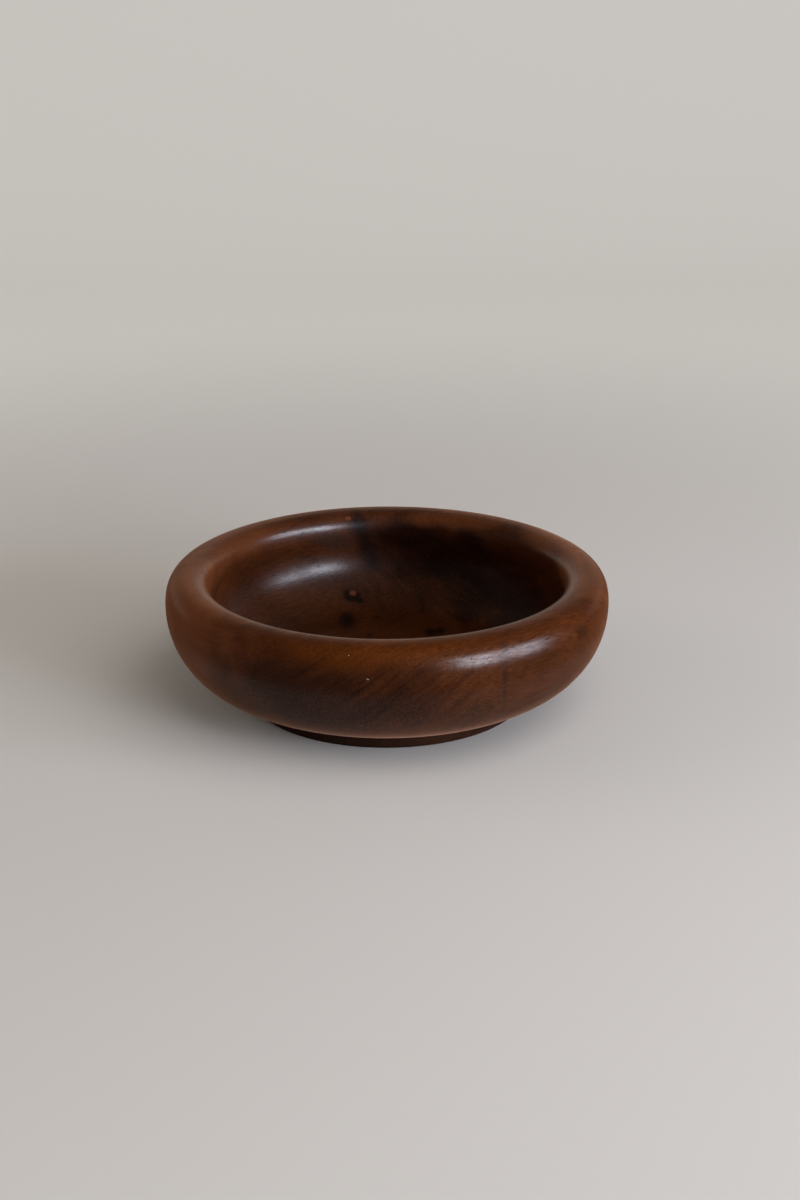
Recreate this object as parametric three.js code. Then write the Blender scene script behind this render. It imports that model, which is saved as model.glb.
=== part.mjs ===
// Turned wooden bowl: a thick-walled vessel with a broad rolled rim, on a ring foot that is
// glued over a short spigot under the vessel.
// Lengths are in millimetres, +Z is up, and the origin is the middle of the foot's underside.

import * as THREE from 'three';

// Outside of the vessel
const outerDiameter = 250;
const bellyHeight = 47;
const bellyLedge = 0.8;
const rimRise = 17.2;
const rimOuterRoll = 13.2;
const rimFullness = 2.5;

// Mouth and hollow of the vessel
const rimInnerRoll = 11.5;
const rimInnerDrop = 11.8;
const undercut = 1.4;
const undercutHeight = 11.7;
const cornerReach = 36;
const floorDish = 1.4;
const bottomThickness = 14.1;

// Ring foot, and the spigot that it is glued over
const footDiameter = 159.4;
const footHeight = 10.7;
const ringWidth = 15.5;
const ringRound = 1.2;
const boreChamfer = 0.8;
const spigotChamfer = 1;
const undersideRecess = 3;
const undersideDish = 0.7;

// Room for glue wherever the foot and the vessel meet
const glueLine = 0.3;

// Fineness of the round surfaces
const turnSteps = 96;
const bellySteps = 12;
const outerRollSteps = 8;
const innerRollSteps = 6;
const undercutSteps = 4;
const cornerSteps = 9;
const dishSteps = 3;
const roundSteps = 3;

// Radii and heights that follow from the sizes above
const outerRadius = outerDiameter / 2;
const footRadius = footDiameter / 2;
const boreRadius = footRadius - ringWidth;
const spigotRadius = boreRadius - glueLine;
const springRadius = footRadius + bellyLedge;
const crestRadius = outerRadius - rimOuterRoll;
const throatRadius = crestRadius - rimInnerRoll;
const hollowRadius = throatRadius + undercut;
const widestHeight = footHeight + bellyHeight;
const crestHeight = widestHeight + rimRise;
const throatHeight = crestHeight - rimInnerDrop;
const cornerHeight = throatHeight - undercutHeight;
const floorHeight = undersideRecess + bottomThickness;
const floorEdgeHeight = floorHeight + floorDish;
const floorRadius = hollowRadius - cornerReach;

// Directions in an outline, where x is the distance from the bowl's axis and y is the height
const outward = 0;
const upward = Math.PI / 2;
const inward = Math.PI;
const downward = -Math.PI / 2;

// The fullness of a true ellipse; a larger value gives a squarer shoulder
const ellipse = 2;

// Points of an outline that lie closer than this are one point
const samePoint = 1e-6;

function point(radius, height) {
  return new THREE.Vector2(radius, height);
}

// A quarter of an oval round a centre, drawn from one direction to the next.
function quarterOval({ centre, reach, rise, fullness = ellipse, from, to, steps }) {
  const bulge = (value) => Math.sign(value) * Math.abs(value) ** (ellipse / fullness);
  const points = [];
  for (let step = 0; step <= steps; step += 1) {
    const angle = from + (to - from) * (step / steps);
    points.push(point(
      centre.x + reach * bulge(Math.cos(angle)),
      centre.y + rise * bulge(Math.sin(angle)),
    ));
  }
  return points;
}

// A soft S between two points that is upright at both ends, as half a wave of a cosine.
function uprightEase(start, end, steps) {
  const points = [];
  for (let step = 0; step <= steps; step += 1) {
    const share = step / steps;
    const eased = (1 - Math.cos(Math.PI * share)) / 2;
    points.push(point(
      start.x + (end.x - start.x) * eased,
      start.y + (end.y - start.y) * share,
    ));
  }
  return points;
}

// A shallow dish from the axis out to a radius, level at its middle. Its middle lies above its
// edge where the depth is above nought, and below it where the depth is below.
function shallowDish(radius, edgeHeight, depth, steps) {
  const points = [];
  for (let step = 0; step <= steps; step += 1) {
    const share = step / steps;
    points.push(point(radius * share, edgeHeight + depth * (1 - share ** 2)));
  }
  return points;
}

// Turns an outline about the axis. Points that two stretches share are kept once.
function turned(stretches) {
  const outline = [];
  for (const next of stretches.flat()) {
    const last = outline[outline.length - 1];
    const repeated = last !== undefined && last.distanceTo(next) < samePoint;
    if (!repeated) outline.push(next);
  }
  return new THREE.LatheGeometry(outline, turnSteps);
}

function waxedWood(color, roughness) {
  return new THREE.MeshStandardMaterial({ color, roughness, metalness: 0 });
}

// The vessel, from the middle of its underside round the outside, over the rim and down the
// hollow to the middle of its floor.
function makeVessel() {
  const underside = shallowDish(
    spigotRadius - spigotChamfer, undersideRecess, undersideDish, dishSteps,
  );
  const spigot = [
    point(spigotRadius, undersideRecess + spigotChamfer),
    point(spigotRadius, footHeight),
  ];
  const belly = quarterOval({
    centre: point(springRadius, widestHeight),
    reach: outerRadius - springRadius,
    rise: bellyHeight,
    from: downward,
    to: outward,
    steps: bellySteps,
  });
  const outerRoll = quarterOval({
    centre: point(crestRadius, widestHeight),
    reach: rimOuterRoll,
    rise: rimRise,
    fullness: rimFullness,
    from: outward,
    to: upward,
    steps: outerRollSteps,
  });
  const innerRoll = quarterOval({
    centre: point(crestRadius, throatHeight),
    reach: rimInnerRoll,
    rise: rimInnerDrop,
    fullness: rimFullness,
    from: upward,
    to: inward,
    steps: innerRollSteps,
  });
  const wall = uprightEase(
    point(throatRadius, throatHeight), point(hollowRadius, cornerHeight), undercutSteps,
  );
  const corner = quarterOval({
    centre: point(floorRadius, cornerHeight),
    reach: cornerReach,
    rise: cornerHeight - floorEdgeHeight,
    from: outward,
    to: downward,
    steps: cornerSteps,
  });
  const floor = shallowDish(floorRadius, floorEdgeHeight, -floorDish, dishSteps).reverse();
  return turned([underside, spigot, belly, outerRoll, innerRoll, wall, corner, floor]);
}

// The foot, from the inner edge of its underside round the outside and back down the bore.
function makeFootRing() {
  const seatHeight = footHeight - glueLine;
  const innerEdge = point(boreRadius + boreChamfer, 0);
  const lowerRound = quarterOval({
    centre: point(footRadius - ringRound, ringRound),
    reach: ringRound,
    rise: ringRound,
    from: downward,
    to: outward,
    steps: roundSteps,
  });
  const seat = [point(footRadius, seatHeight), point(boreRadius, seatHeight)];
  const bore = [point(boreRadius, boreChamfer), innerEdge];
  return turned([innerEdge, lowerRound, seat, bore]);
}

const vessel = new THREE.Mesh(makeVessel(), waxedWood(0x4b2a1b, 0.35));
vessel.name = 'bowl_body';

const footRing = new THREE.Mesh(makeFootRing(), waxedWood(0x3d2117, 0.42));
footRing.name = 'foot_ring';

// The outlines turn about Y, and the bowl stands along Z
const bowl = new THREE.Group();
bowl.name = 'wooden_bowl';
bowl.rotation.x = Math.PI / 2;
bowl.add(vessel, footRing);

export default bowl;
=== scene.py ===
"""Turned wooden bowl: a thick vessel with a broad rolled rim, glued onto a ring foot.

Lengths are in metres, in the frame of the solids: +Z up, +Y away from the viewer, and the origin
in the middle of the foot's underside. Materials count in millimetres of wood.
"""
import logging
import math
from dataclasses import dataclass, field
from enum import Enum
from typing import Any, ClassVar, Iterable, Mapping, Sequence, Union

import bpy
from mathutils import Matrix, Vector


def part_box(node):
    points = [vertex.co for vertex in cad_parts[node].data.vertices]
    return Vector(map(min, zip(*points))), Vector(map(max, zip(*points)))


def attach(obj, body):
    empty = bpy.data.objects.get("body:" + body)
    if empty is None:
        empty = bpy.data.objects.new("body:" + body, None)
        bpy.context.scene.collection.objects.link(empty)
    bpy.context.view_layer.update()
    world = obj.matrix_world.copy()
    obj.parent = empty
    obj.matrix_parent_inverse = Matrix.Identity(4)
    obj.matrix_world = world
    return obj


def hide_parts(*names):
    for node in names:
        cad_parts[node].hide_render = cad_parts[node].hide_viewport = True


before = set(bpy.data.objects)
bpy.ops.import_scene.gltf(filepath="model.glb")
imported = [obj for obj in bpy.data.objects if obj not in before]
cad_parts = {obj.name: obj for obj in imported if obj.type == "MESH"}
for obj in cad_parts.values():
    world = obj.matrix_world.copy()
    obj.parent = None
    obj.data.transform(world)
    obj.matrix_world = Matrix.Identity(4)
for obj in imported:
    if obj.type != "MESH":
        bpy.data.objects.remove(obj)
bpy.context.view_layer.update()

logger = logging.getLogger("bowl")

MM = 0.001
QUARTER_TURN = math.pi / 2

Point = tuple[float, float]
Colour = tuple[float, float, float]
Number = Union[float, "Value"]


def srgb(red: int, green: int, blue: int) -> Colour:
    """Turns a colour as seen on a screen into the linear colour that a shader takes.

    Args:
        red: Red, from 0 to 255.
        green: Green, from 0 to 255.
        blue: Blue, from 0 to 255.

    Returns:
        The linear colour.
    """
    def linear(channel: int) -> float:
        """One channel of the colour."""
        share = channel / 255
        return share / 12.92 if share <= 0.04045 else ((share + 0.055) / 1.055) ** 2.4

    return linear(red), linear(green), linear(blue)


# Outlines

@dataclass(frozen=True)
class QuarterOval:
    """A quarter of an oval in an outline, where x is the radius and y the height.

    Attributes:
        centre: The oval's centre.
        reach: Its half width.
        rise: Its half height.
        start: The direction where the quarter starts, in radians.
        end: The direction where it ends.
        fullness: 2 for a true ellipse, and more for a squarer shoulder.
    """

    centre: Point
    reach: float
    rise: float
    start: float
    end: float
    fullness: float = 2.0

    def points(self, steps: int) -> list[Point]:
        """Points along the quarter.

        Args:
            steps: How many steps it takes.

        Returns:
            The points, both ends included.
        """
        found = []
        for step in range(steps + 1):
            angle = self.start + (self.end - self.start) * step / steps
            across, up = self._bulge(math.cos(angle)), self._bulge(math.sin(angle))
            found.append((self.centre[0] + self.reach * across, self.centre[1] + self.rise * up))
        return found

    def _bulge(self, share: float) -> float:
        """Pushes a share of the half width or height out to the oval's fullness."""
        return math.copysign(abs(share) ** (2.0 / self.fullness), share)


def upright_ease(start: Point, end: Point, steps: int) -> list[Point]:
    """A soft S between two points of an outline, upright at both ends.

    Args:
        start: Where it starts.
        end: Where it ends.
        steps: How many steps it takes.

    Returns:
        The points, both ends included.
    """
    found = []
    for step in range(steps + 1):
        share = step / steps
        eased = (1.0 - math.cos(math.pi * share)) / 2.0
        found.append((start[0] + (end[0] - start[0]) * eased, start[1] + (end[1] - start[1]) * share))
    return found


def shallow_dish(radius: float, edge_height: float, depth: float, steps: int) -> list[Point]:
    """A shallow dish from the axis out to a radius, level at its middle.

    Args:
        radius: Where the dish ends.
        edge_height: The height of its edge.
        depth: How far its middle lies above the edge.
        steps: How many steps it takes.

    Returns:
        The points, both ends included.
    """
    shares = [step / steps for step in range(steps + 1)]
    return [(radius * share, edge_height + depth * (1.0 - share ** 2)) for share in shares]


# Modelling on the lathe

class Lathe:
    """Turns outlines into pieces with edit-mode operators."""

    STEPS_ROUND = 384
    SEAM = 0.002 * MM
    ON_RING = 0.02 * MM
    EASE_STEPS = 3
    SMOOTH_BELOW = math.radians(32.0)

    def turn(self, name: str, outline: Sequence[Point]) -> bpy.types.Object:
        """Draws an outline as a chain of edges and spins it about the axis.

        Args:
            name: The new piece's name.
            outline: Radii and heights, from the axis to the axis or back to the start.

        Returns:
            The closed piece, with its faces pointing out.
        """
        bpy.ops.object.select_all(action="DESELECT")
        bpy.ops.mesh.primitive_plane_add(size=MM, location=self._place(outline[0]))
        piece = bpy.context.object
        piece.name = piece.data.name = name
        bpy.ops.object.mode_set(mode="EDIT")
        bpy.ops.mesh.select_all(action="SELECT")
        bpy.ops.mesh.merge(type="CENTER")
        for last, following in zip(outline, outline[1:]):
            step = self._place(following) - self._place(last)
            bpy.ops.mesh.extrude_region_move(TRANSFORM_OT_translate={"value": step})
        bpy.ops.mesh.select_all(action="SELECT")
        bpy.ops.mesh.spin(steps=self.STEPS_ROUND, angle=math.tau, center=(0, 0, 0), axis=(0, 0, 1))
        bpy.ops.mesh.select_all(action="SELECT")
        bpy.ops.mesh.remove_doubles(threshold=self.SEAM)
        bpy.ops.mesh.normals_make_consistent(inside=False)
        bpy.ops.object.mode_set(mode="OBJECT")
        bpy.ops.object.transform_apply(location=True, rotation=True, scale=True)
        return piece

    def ease_edge(self, piece: bpy.types.Object, ring: Point, width: float) -> None:
        """Rounds one sharp edge that runs round a piece.

        Args:
            piece: The piece.
            ring: The radius and height of the edge.
            width: How wide the rounding is.
        """
        bpy.context.view_layer.objects.active = piece
        bpy.ops.object.mode_set(mode="EDIT")
        bpy.ops.mesh.select_mode(type="EDGE")
        bpy.ops.mesh.select_all(action="DESELECT")
        bpy.ops.object.mode_set(mode="OBJECT")
        for edge in piece.data.edges:
            ends = [piece.data.vertices[index].co for index in edge.vertices]
            edge.select = all(self._lies_on(end, ring) for end in ends)
        bpy.ops.object.mode_set(mode="EDIT")
        bpy.ops.mesh.bevel(offset=width, segments=self.EASE_STEPS, affect="EDGES")
        bpy.ops.mesh.select_mode(type="VERT")
        bpy.ops.object.mode_set(mode="OBJECT")

    def smooth(self, piece: bpy.types.Object) -> None:
        """Shades a piece smooth, with its crisp edges kept.

        Args:
            piece: The piece.
        """
        bpy.ops.object.select_all(action="DESELECT")
        piece.select_set(True)
        bpy.context.view_layer.objects.active = piece
        bpy.ops.object.shade_smooth_by_angle(angle=self.SMOOTH_BELOW)

    def _lies_on(self, place: Vector, ring: Point) -> bool:
        """Whether a point lies on a ring round the axis."""
        return math.dist((math.hypot(place.x, place.y), place.z), ring) < self.ON_RING

    @staticmethod
    def _place(point: Point) -> Vector:
        """Where a point of an outline lies before it is spun."""
        return Vector((point[0], 0.0, point[1]))


# Shader maths

NOISE_MIDDLE = 0.5


class Value:
    """A number on its way through a node tree. Arithmetic on it adds Math nodes."""

    def __init__(self, graph: "Graph", socket: bpy.types.NodeSocket) -> None:
        """Wraps a socket.

        Args:
            graph: The graph that the socket belongs to.
            socket: An output socket.
        """
        self.graph = graph
        self.socket = socket

    def __add__(self, other: Number) -> "Value":
        """Self plus other."""
        return self.graph.math("ADD", self, other)

    __radd__ = __add__

    def __sub__(self, other: Number) -> "Value":
        """Self minus other."""
        return self.graph.math("SUBTRACT", self, other)

    def __rsub__(self, other: Number) -> "Value":
        """Other minus self."""
        return self.graph.math("SUBTRACT", other, self)

    def __mul__(self, other: Number) -> "Value":
        """Self times other."""
        return self.graph.math("MULTIPLY", self, other)

    __rmul__ = __mul__

    def __truediv__(self, other: Number) -> "Value":
        """Self over other."""
        return self.graph.math("DIVIDE", self, other)

    def __rtruediv__(self, other: Number) -> "Value":
        """Other over self."""
        return self.graph.math("DIVIDE", other, self)


class Blend(Enum):
    """How one colour is laid over another."""

    OVER = "MIX"
    STAIN = "MULTIPLY"


class Ray(Enum):
    """A kind of ray that a surface can be seen by."""

    CAMERA = "Is Camera Ray"
    GLOSSY = "Is Glossy Ray"
    TRANSMISSION = "Is Transmission Ray"


class Detail(Enum):
    """How many finer layers a noise has."""

    NONE = 0.0
    LITTLE = 1.0
    SOME = 2.0
    MUCH = 3.0


class Graph:
    """A node tree, with one way to add any node."""

    MEASURES = ("LENGTH", "DISTANCE", "DOT_PRODUCT")

    def __init__(self, owner: bpy.types.Material | bpy.types.World) -> None:
        """Empties a node tree.

        Args:
            owner: The material or world to build.
        """
        owner.use_nodes = True
        self.tree = owner.node_tree
        self.tree.nodes.clear()

    def add(
        self,
        kind: str,
        settings: dict[str, Any] | None = None,
        sockets: dict[Any, Any] | None = None,
        output: int | str = 0,
    ) -> Value | None:
        """Adds a node.

        Args:
            kind: The node's type.
            settings: Its properties, which are set first. A ramp's are under "stops".
            sockets: Values or links, by the socket's number, name or identifier.
            output: The output that is wanted.

        Returns:
            That output, or None where the node has none.
        """
        node = self.tree.nodes.new(kind)
        for name, setting in (settings or {}).items():
            if name == "stops":
                self._set_stops(node.color_ramp, setting)
            else:
                setattr(node, name, setting)
        for name, fed in (sockets or {}).items():
            self._feed(self._find(node.inputs, name), fed)
        return Value(self, self._find(node.outputs, output)) if node.outputs else None

    def math(self, operation: str, *values: Number) -> Value:
        """A Math node on one to three numbers."""
        return self.add("ShaderNodeMath", {"operation": operation}, dict(enumerate(values)))

    def vector(self, operation: str, *values: Any) -> Value:
        """A Vector Math node. It gives a number where it measures, and otherwise a vector."""
        output = "Value" if operation in self.MEASURES else 0
        return self.add("ShaderNodeVectorMath", {"operation": operation}, dict(enumerate(values)), output)

    def scaled(self, vector: Any, factor: Number) -> Value:
        """A vector times a number."""
        return self.add("ShaderNodeVectorMath", {"operation": "SCALE"}, {0: vector, "Scale": factor})

    def stretched(self, vector: Value, scale: Sequence[float]) -> Value:
        """A vector with each of its axes scaled by itself."""
        return self.vector("MULTIPLY", vector, tuple(scale))

    def turned(self, vector: Value, kind: str, turn: dict[str, Any]) -> Value:
        """A vector turned about the origin, by a Vector Rotate node of one kind."""
        return self.add("ShaderNodeVectorRotate", {"rotation_type": kind}, {"Vector": vector, **turn})

    def split(self, vector: Value) -> tuple[Value, ...]:
        """The three parts of a vector."""
        first = self.add("ShaderNodeSeparateXYZ", sockets={0: vector})
        return tuple(Value(self, part) for part in first.socket.node.outputs)

    def joined(self, x: Number, y: Number, z: Number) -> Value:
        """A vector made of three numbers."""
        return self.add("ShaderNodeCombineXYZ", sockets={0: x, 1: y, 2: z})

    def rays(self, *kinds: Ray) -> Value:
        """1 where a ray is of one of these kinds, and otherwise 0."""
        return sum(self.add("ShaderNodeLightPath", output=kind.value) for kind in kinds)

    def noise(
        self,
        vector: Value,
        detail: Detail = Detail.SOME,
        roughness: float = 0.5,
        scale: float = 1.0,
        output: str | int = 0,
    ) -> Value:
        """Soft noise between 0 and 1.

        Args:
            vector: Where the noise is read.
            detail: How many finer layers it has.
            roughness: How strong they are.
            scale: How many features fit in one unit.
            output: 0 for one number, or "Color" for three.

        Returns:
            The noise.
        """
        sockets = {"Vector": vector, "Scale": scale, "Detail": detail.value, "Roughness": roughness}
        return self.add("ShaderNodeTexNoise", sockets=sockets, output=output)

    def step(self, value: Value, low: float, high: float) -> Value:
        """A soft step.

        Args:
            value: What rises.
            low: Where the step is 0.
            high: Where it is 1.

        Returns:
            The step.
        """
        settings = {"interpolation_type": "SMOOTHSTEP"}
        sockets = {"Value": value, "From Min": low, "From Max": high}
        return self.add("ShaderNodeMapRange", settings, sockets)

    def mix(
        self, below: Any, above: Any, share: Number, blend: Blend = Blend.OVER
    ) -> Value:
        """Lays one colour over another.

        Args:
            below: The colour below.
            above: The colour above.
            share: How much of it counts, from 0 to 1.
            blend: How it is laid.

        Returns:
            The mixed colour.
        """
        settings = {"data_type": "RGBA", "blend_type": blend.value}
        sockets = {"Factor_Float": share, "A_Color": below, "B_Color": above}
        return self.add("ShaderNodeMix", settings, sockets, "Result_Color")

    @staticmethod
    def _set_stops(ramp: bpy.types.ColorRamp, stops: Sequence[tuple[float, Colour]]) -> None:
        """Gives a ramp its colours.

        Args:
            ramp: The ramp.
            stops: Places from 0 to 1, each with its colour.
        """
        while len(ramp.elements) < len(stops):
            ramp.elements.new(1.0)
        for element, (place, colour) in zip(ramp.elements, stops):
            element.position = place
            element.color = (*colour, 1.0)

    @staticmethod
    def _find(sockets: Any, name: int | str) -> bpy.types.NodeSocket:
        """Finds a socket.

        Args:
            sockets: A node's inputs or outputs.
            name: The socket's number, identifier or name.

        Returns:
            The socket.
        """
        if isinstance(name, int):
            return sockets[name]
        return next((socket for socket in sockets if socket.identifier == name), None) or sockets[name]

    def _feed(self, socket: bpy.types.NodeSocket, fed: Any) -> None:
        """Links a value to a socket, or sets the socket to it.

        Args:
            socket: An input socket.
            fed: A value of this graph, a number, a vector or a colour.
        """
        if isinstance(fed, Value):
            self.tree.links.new(fed.socket, socket)
        elif isinstance(fed, (tuple, list)) and socket.type == "RGBA" and len(fed) == 3:
            socket.default_value = (*fed, 1.0)
        else:
            socket.default_value = fed


# The photograph's view

@dataclass(frozen=True)
class Sighting:
    """A place in the photograph's frame, in pixels from its top left corner."""

    x: float
    y: float


@dataclass(frozen=True)
class PhotoView:
    """The camera that took the photograph, as fitted to the bowl's outline.

    Attributes:
        place: Where it stood.
        pitch: How far it looked down, in radians.
        roll: How far it leaned, in radians.
        focal_pixels: Its focal length in the photograph's pixels.
        frame_size: The photograph's width and height in pixels.
    """

    place: tuple[float, float, float] = (7.3 * MM, -1031.0 * MM, 440.3 * MM)
    pitch: float = math.radians(20.453)
    roll: float = math.radians(-0.12)
    focal_pixels: float = 1938.6
    frame_size: tuple[int, int] = (800, 1200)

    SENSOR = 36.0
    NEAR_CLIP = 10 * MM

    def matrix(self) -> Matrix:
        """Where the camera stands and how it is turned."""
        turned = Matrix.Rotation(QUARTER_TURN - self.pitch, 4, "X") @ Matrix.Rotation(self.roll, 4, "Z")
        return Matrix.Translation(self.place) @ turned

    def point_on(self, piece: bpy.types.Object, seen: Sighting) -> Vector:
        """Finds where a sighting falls on a piece.

        Args:
            piece: A piece whose object sits at the origin.
            seen: The sighting.

        Returns:
            The point on its surface.

        Raises:
            ValueError: If the sighting misses the piece.
        """
        width, height = self.frame_size
        aim = Vector((seen.x - width / 2, height / 2 - seen.y, -self.focal_pixels))
        matrix = self.matrix()
        met, place, _, _ = piece.ray_cast(matrix.translation, matrix.to_3x3() @ aim.normalized())
        if not met:
            raise ValueError(f"{seen} misses {piece.name}")
        return place

    def add_camera(self) -> bpy.types.Object:
        """Adds the camera and makes it the scene's.

        Returns:
            The camera.
        """
        bpy.ops.object.camera_add()
        camera = bpy.context.object
        camera.name = "photo_camera"
        camera.matrix_world = self.matrix()
        camera.data.sensor_width = self.SENSOR
        camera.data.lens = self.focal_pixels / max(self.frame_size) * self.SENSOR
        camera.data.clip_start = self.NEAR_CLIP
        bpy.context.scene.camera = camera
        return camera


# Marks in the wood

@dataclass(frozen=True)
class Knot:
    """A small branch knot: a heart, a dark ring round it and a halo that bends the rings.

    Attributes:
        seen: Where the photograph shows it.
        reach: The dark ring's outer reach along X, Y and Z, in millimetres.
        heart: The heart's colour.
        heart_share: How much of the knot the heart fills.
        darkness: How dark the ring is, from 0 to 1.
    """

    seen: Sighting
    reach: tuple[float, float, float]
    heart: Colour
    heart_share: float = 0.45
    darkness: float = 0.9

    HALO = (0.8, 2.0)
    HALO_DARKNESS = 0.3
    RING = (0.60, 1.15)
    HEART = (0.6, 1.2)
    BEND = 1.6
    BEND_FALLOFF = 0.16


@dataclass(frozen=True)
class Streak:
    """A stain that runs through a chain of sightings.

    Attributes:
        path: The sightings.
        widths: Its half widths at the start and the end, in millimetres.
        colour: Its colour.
        strength: How strong it is, from 0 to 1.
    """

    path: tuple[Sighting, ...]
    widths: tuple[float, float]
    colour: Colour
    strength: float = 0.8

    EDGE = (0.1, 1.3)


@dataclass(frozen=True)
class Cloud:
    """A soft patch where the colour is darker, paler or warmer: the wood's own tone in most, painted
    shade, sheen or haze in some.

    Attributes:
        seen: The patch's middle.
        reach: How far it reaches along X, Y and Z, in millimetres.
        tint: Its colour.
        strength: How much of that colour counts.
        feather: How far the grain draws out its edge, as a share of its reach.
        core: Where its full strength ends, as a share of its reach.
        blend: How its colour is laid over the wood's.
    """

    seen: Sighting
    reach: tuple[float, float, float]
    tint: Colour
    strength: float = 1.0
    feather: float = 1.0
    core: float = 0.25
    blend: Blend = Blend.STAIN

    EDGE = 1.15


@dataclass(frozen=True)
class Burr:
    """A patch of curly grain.

    Attributes:
        seen: The patch's middle.
        reach: How far it reaches, in millimetres.
        curl: The size of one curl, in millimetres.
        depth: How far the rings are pushed about, in millimetres.
    """

    seen: Sighting
    reach: float
    curl: float
    depth: float

    EDGE = (0.4, 1.1)


@dataclass(frozen=True)
class Wave:
    """One scale of unevenness in the growth rings.

    Attributes:
        length: How long a wave is along the fibres, in millimetres.
        width: How wide it is across them.
        depth: How far it pushes the rings, from one extreme to the other.
    """

    length: float
    width: float
    depth: float


@dataclass(frozen=True)
class Log:
    """How the blank lay in the tree.

    Attributes:
        heading: The pith's direction seen from above, in radians from +X.
        pith_aside: How far the pith lies to the left of the bowl's axis along that direction,
            in millimetres.
        pith_height: The pith's height in millimetres.
        ring_gap: The mean distance between growth rings in millimetres.
        waves: How the rings wander.
    """

    heading: float
    pith_aside: float
    pith_height: float
    ring_gap: float
    waves: tuple[Wave, ...] = (Wave(200.0, 70.0, 10.0), Wave(60.0, 18.0, 3.0), Wave(20.0, 5.0, 1.0))


@dataclass(frozen=True)
class Figure:
    """The layers of the figure, each as a length along the fibres and a width, in millimetres."""

    band: tuple[float, float] = (160.0, 11.0)
    flame: tuple[float, float] = (30.0, 3.2)
    stroke: tuple[float, float] = (11.0, 0.6)
    fibre: tuple[float, float] = (16.0, 0.8)
    pore: tuple[float, float] = (4.5, 0.5)
    scratch: tuple[float, float] = (16.0, 0.3)
    blotch: float = 30.0
    tool_mark: float = 0.9


@dataclass(frozen=True)
class WoodTones:
    """The colours of oiled wood, from its darkest stains to its palest bands."""

    ink: Colour
    dark: Colour
    middle: Colour
    warm: Colour
    pale: Colour


@dataclass(frozen=True)
class Wax:
    """A wax finish over oiled wood.

    Attributes:
        roughness: The roughness of the oiled wood.
        specular: How strongly the oiled wood reflects.
        fibre_tint: The colour of the fibres' own gleam.
        coat: How much of the wood the wax covers, from 0 to 1.
        coat_roughness: The roughness of the wax.
        coat_ior: The wax's index of refraction.
        sheen: How strong the soft sheen is at a slant.
        sheen_roughness: How wide it is.
        sheen_tint: Its colour.
    """

    roughness: float = 0.50
    specular: float = 0.0
    fibre_tint: Colour = (1.0, 0.60, 0.40)
    coat: float = 0.64
    coat_roughness: float = 0.27
    coat_ior: float = 1.45
    sheen: float = 0.28
    sheen_roughness: float = 0.30
    sheen_tint: Colour = (1.0, 0.53, 0.35)

    WOOD_IOR = 1.5

    def over(self, graph: Graph, colour: Value, bump: Value, rough: Value, cover: Value) -> Value:
        """Lays the wax over wood.

        Args:
            graph: The material's graph.
            colour: The wood's colour.
            bump: Its bumped normal.
            rough: How much rougher than the finish it is.
            cover: The share of the wax that is left.

        Returns:
            The shader.
        """
        return graph.add("ShaderNodeBsdfPrincipled", sockets={
            "Base Color": colour,
            "Roughness": rough + self.roughness,
            "IOR": self.WOOD_IOR,
            "Normal": bump,
            "Specular IOR Level": self.specular,
            "Specular Tint": self.fibre_tint,
            "Coat Weight": cover * self.coat,
            "Coat Roughness": self.coat_roughness,
            "Coat IOR": self.coat_ior,
            "Sheen Weight": self.sheen,
            "Sheen Roughness": self.sheen_roughness,
            "Sheen Tint": self.sheen_tint,
        })


@dataclass(frozen=True)
class Wear:
    """How the grain and use mark the wax.

    Attributes:
        blotch_cover: How much more wax lies on some parts than on others.
        fibre_cover: How much more wax the smoother fibres hold.
        pore_cover: How much wax is missing in the pores.
        scratch_cover: How much wax is missing in the scratches.
        blotch_roughness: How much rougher some parts are than others.
        pore_roughness: How much rougher the pores are.
        tool_mark_height: The height of the turning marks, in millimetres.
        pore_depth: The depth of the pores, in millimetres.
        scratch_depth: The depth of the scratches, in millimetres.
        slant: Between which slants of the view the wax loses its gloss.
        slant_loss: How much of it is lost there.
    """

    blotch_cover: float = 0.4
    fibre_cover: float = 1.7
    pore_cover: float = 0.9
    scratch_cover: float = 0.5
    blotch_roughness: float = 0.15
    pore_roughness: float = 0.10
    tool_mark_height: float = 0.004
    pore_depth: float = 0.030
    scratch_depth: float = 0.006
    slant: tuple[float, float] = (0.35, 0.85)
    slant_loss: float = 0.72


@dataclass(frozen=True)
class Hollow:
    """The inside of a bowl, told from its outside by radius and height in millimetres.

    Attributes:
        crest: The radii between which the inside ends on the rim.
        floor: The heights between which the wood of the bottom lies.
        slope: How much the middle of the wall's thickness rises per millimetre of radius.
        wall: The heights over that slope between which the wood of the wall lies.
    """

    crest: Point = (106.0, 112.0)
    floor: Point = (12.0, 16.0)
    slope: float = 0.7
    wall: Point = (-52.0, -46.0)

    def share(self, graph: Graph, out: Value, up: Value) -> Value:
        """1 on the inside and 0 on the outside.

        Args:
            graph: The material's graph.
            out: The distance from the bowl's axis.
            up: The height.

        Returns:
            The share, with a soft change on the rim.
        """
        within = 1.0 - graph.step(out, *self.crest)
        above = graph.step(up, *self.floor) * graph.step(up - out * self.slope, *self.wall)
        return within * above


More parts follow.
